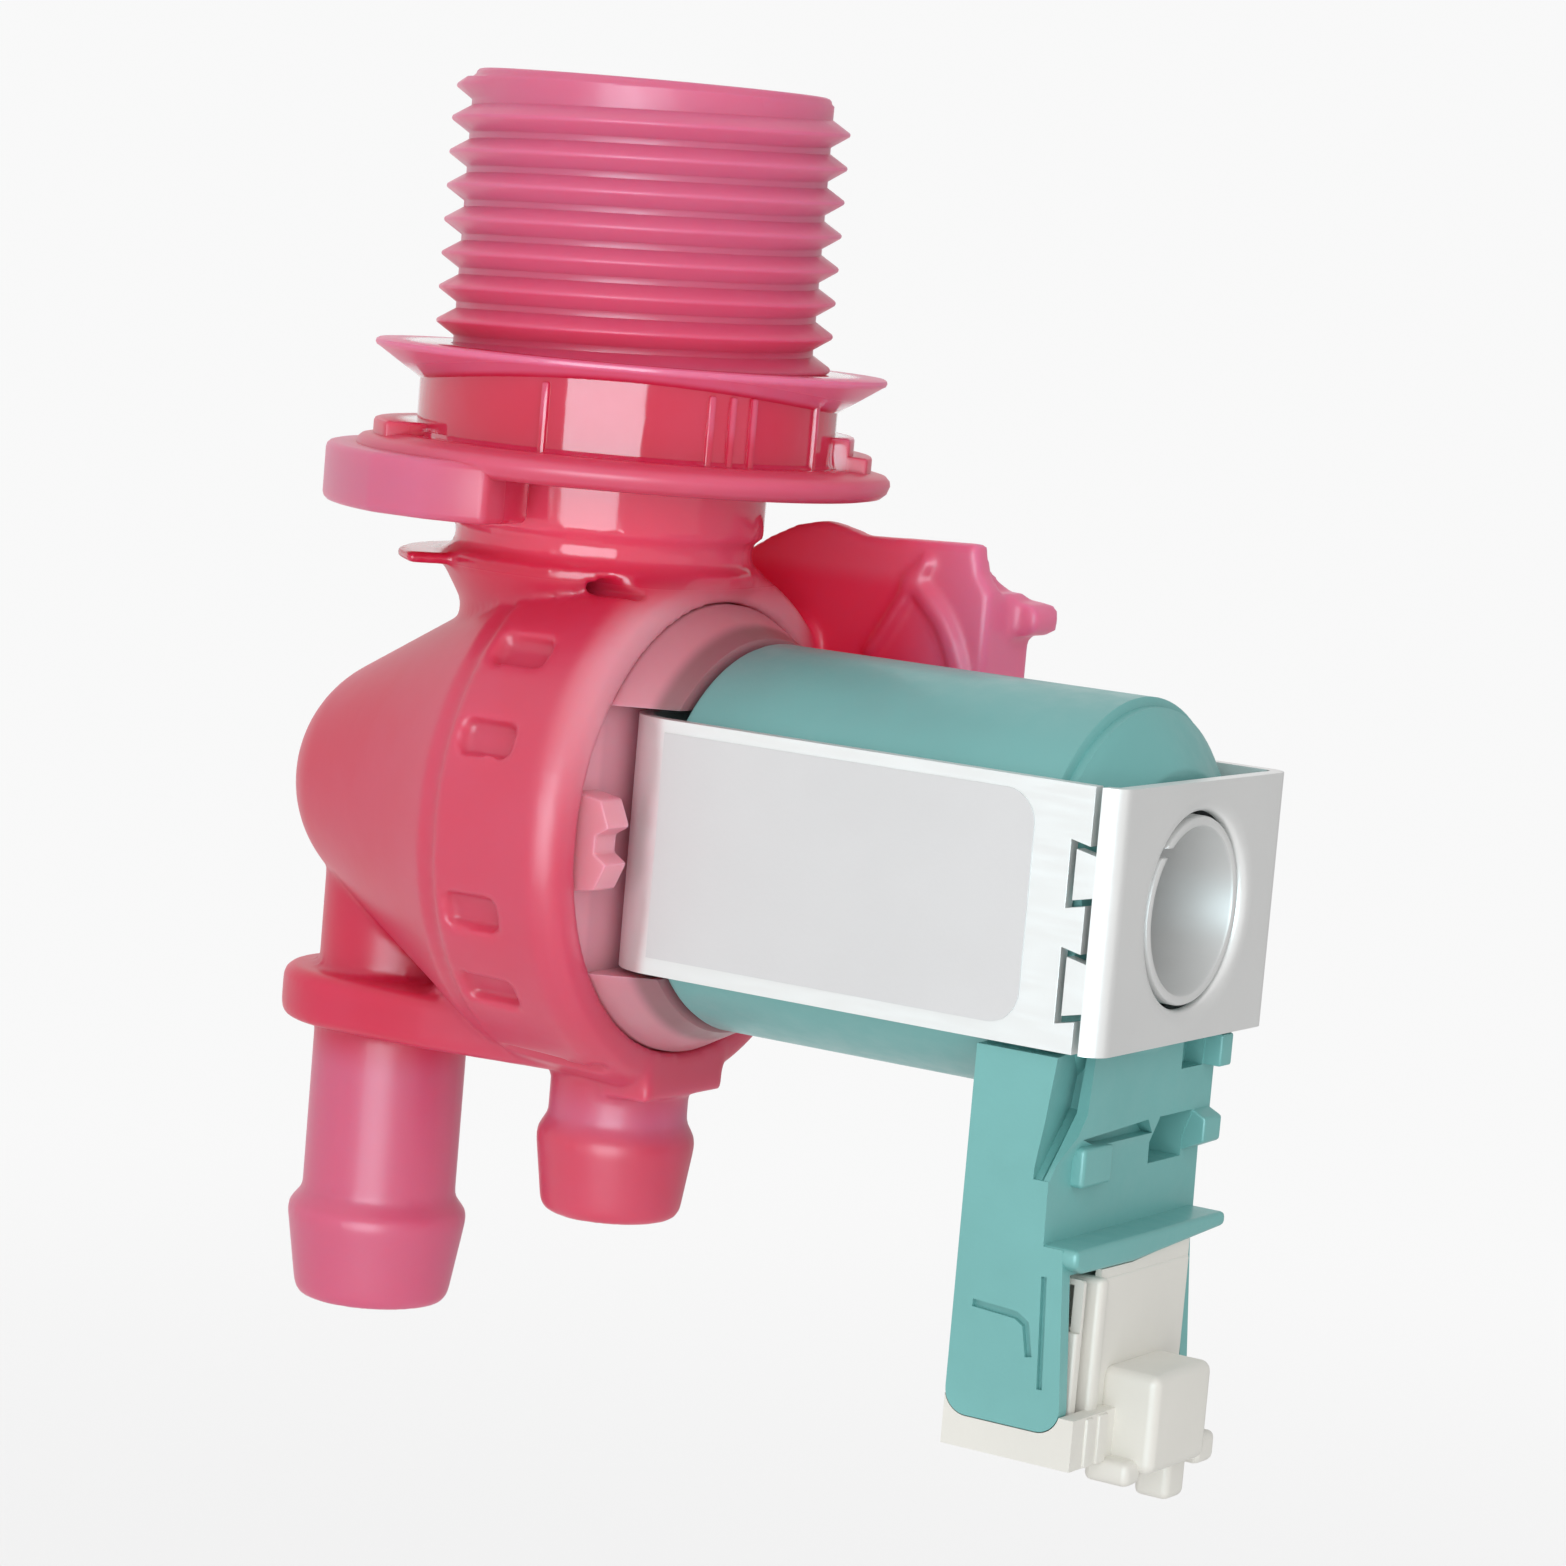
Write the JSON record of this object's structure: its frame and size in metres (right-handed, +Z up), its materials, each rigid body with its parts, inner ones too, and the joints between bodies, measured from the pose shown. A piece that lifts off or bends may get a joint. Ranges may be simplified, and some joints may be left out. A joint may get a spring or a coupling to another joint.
{
  "type": "solenoid water inlet valve",
  "caption": "Moulded inlet valve with a threaded inlet and panel flange, a solenoid in a bent steel yoke with a plug socket, and downward barbed hose outlets.",
  "frame": {"origin": "on the inlet axis, at the flat top of the panel flange", "axes": "+Z up the inlet axis, out of the threaded inlet; +X along the solenoid, away from the valve chamber; the outlets point along -Z"},
  "size_m": [0.0741, 0.0379, 0.0878],
  "materials": {
    "pink_nylon": "slightly translucent, satin gloss",
    "teal_nylon": "satin",
    "bare_steel": "zinc plated, dull",
    "plunger_steel": "turned",
    "spring_steel": "drawn wire",
    "black_rubber": "matt",
    "white_nylon": "natural",
    "black_nylon": "satin",
    "ivory_nylon": "satin",
    "copper": "enamelled copper wire",
    "tinned_brass": "tin plated"
  },
  "bodies": {
    "valve": {"valve_body": "pink_nylon", "retaining_ring": "pink_nylon", "coil_cover": "teal_nylon", "yoke": "bare_steel", "pole_sleeve_front": "bare_steel", "pole_sleeve_rear": "bare_steel", "plunger_spring": "spring_steel", "diaphragm": "black_rubber", "inlet_filter": "white_nylon", "regulator_holder": "white_nylon", "regulator_washer": "black_rubber", "guide_tube": "black_nylon", "coil_bobbin": "black_nylon", "coil_winding": "copper", "terminal_near": "tinned_brass", "terminal_far": "tinned_brass", "connector_insert": "ivory_nylon"},
    "armature": {"plunger": "plunger_steel", "plunger_tip": "black_rubber"},
    "poppet": {"diaphragm_insert": "white_nylon"}
  },
  "joints": [
    {"name": "plunger_slide", "type": "slide", "parent": "valve", "child": "armature", "axis": [1, 0, 0], "range_m": [0, 0.0022], "stiffness_N_per_m": 200, "springref_m": -0.005, "deforming": ["plunger_spring"]},
    {"name": "diaphragm_lift", "type": "slide", "parent": "valve", "child": "poppet", "axis": [1, 0, 0], "range_m": [0, 0.0014], "deforming": ["diaphragm"]}
  ],
  "couplings": [
    {"joint": "diaphragm_lift", "follows": "plunger_slide", "ratio": 0.636}
  ]
}
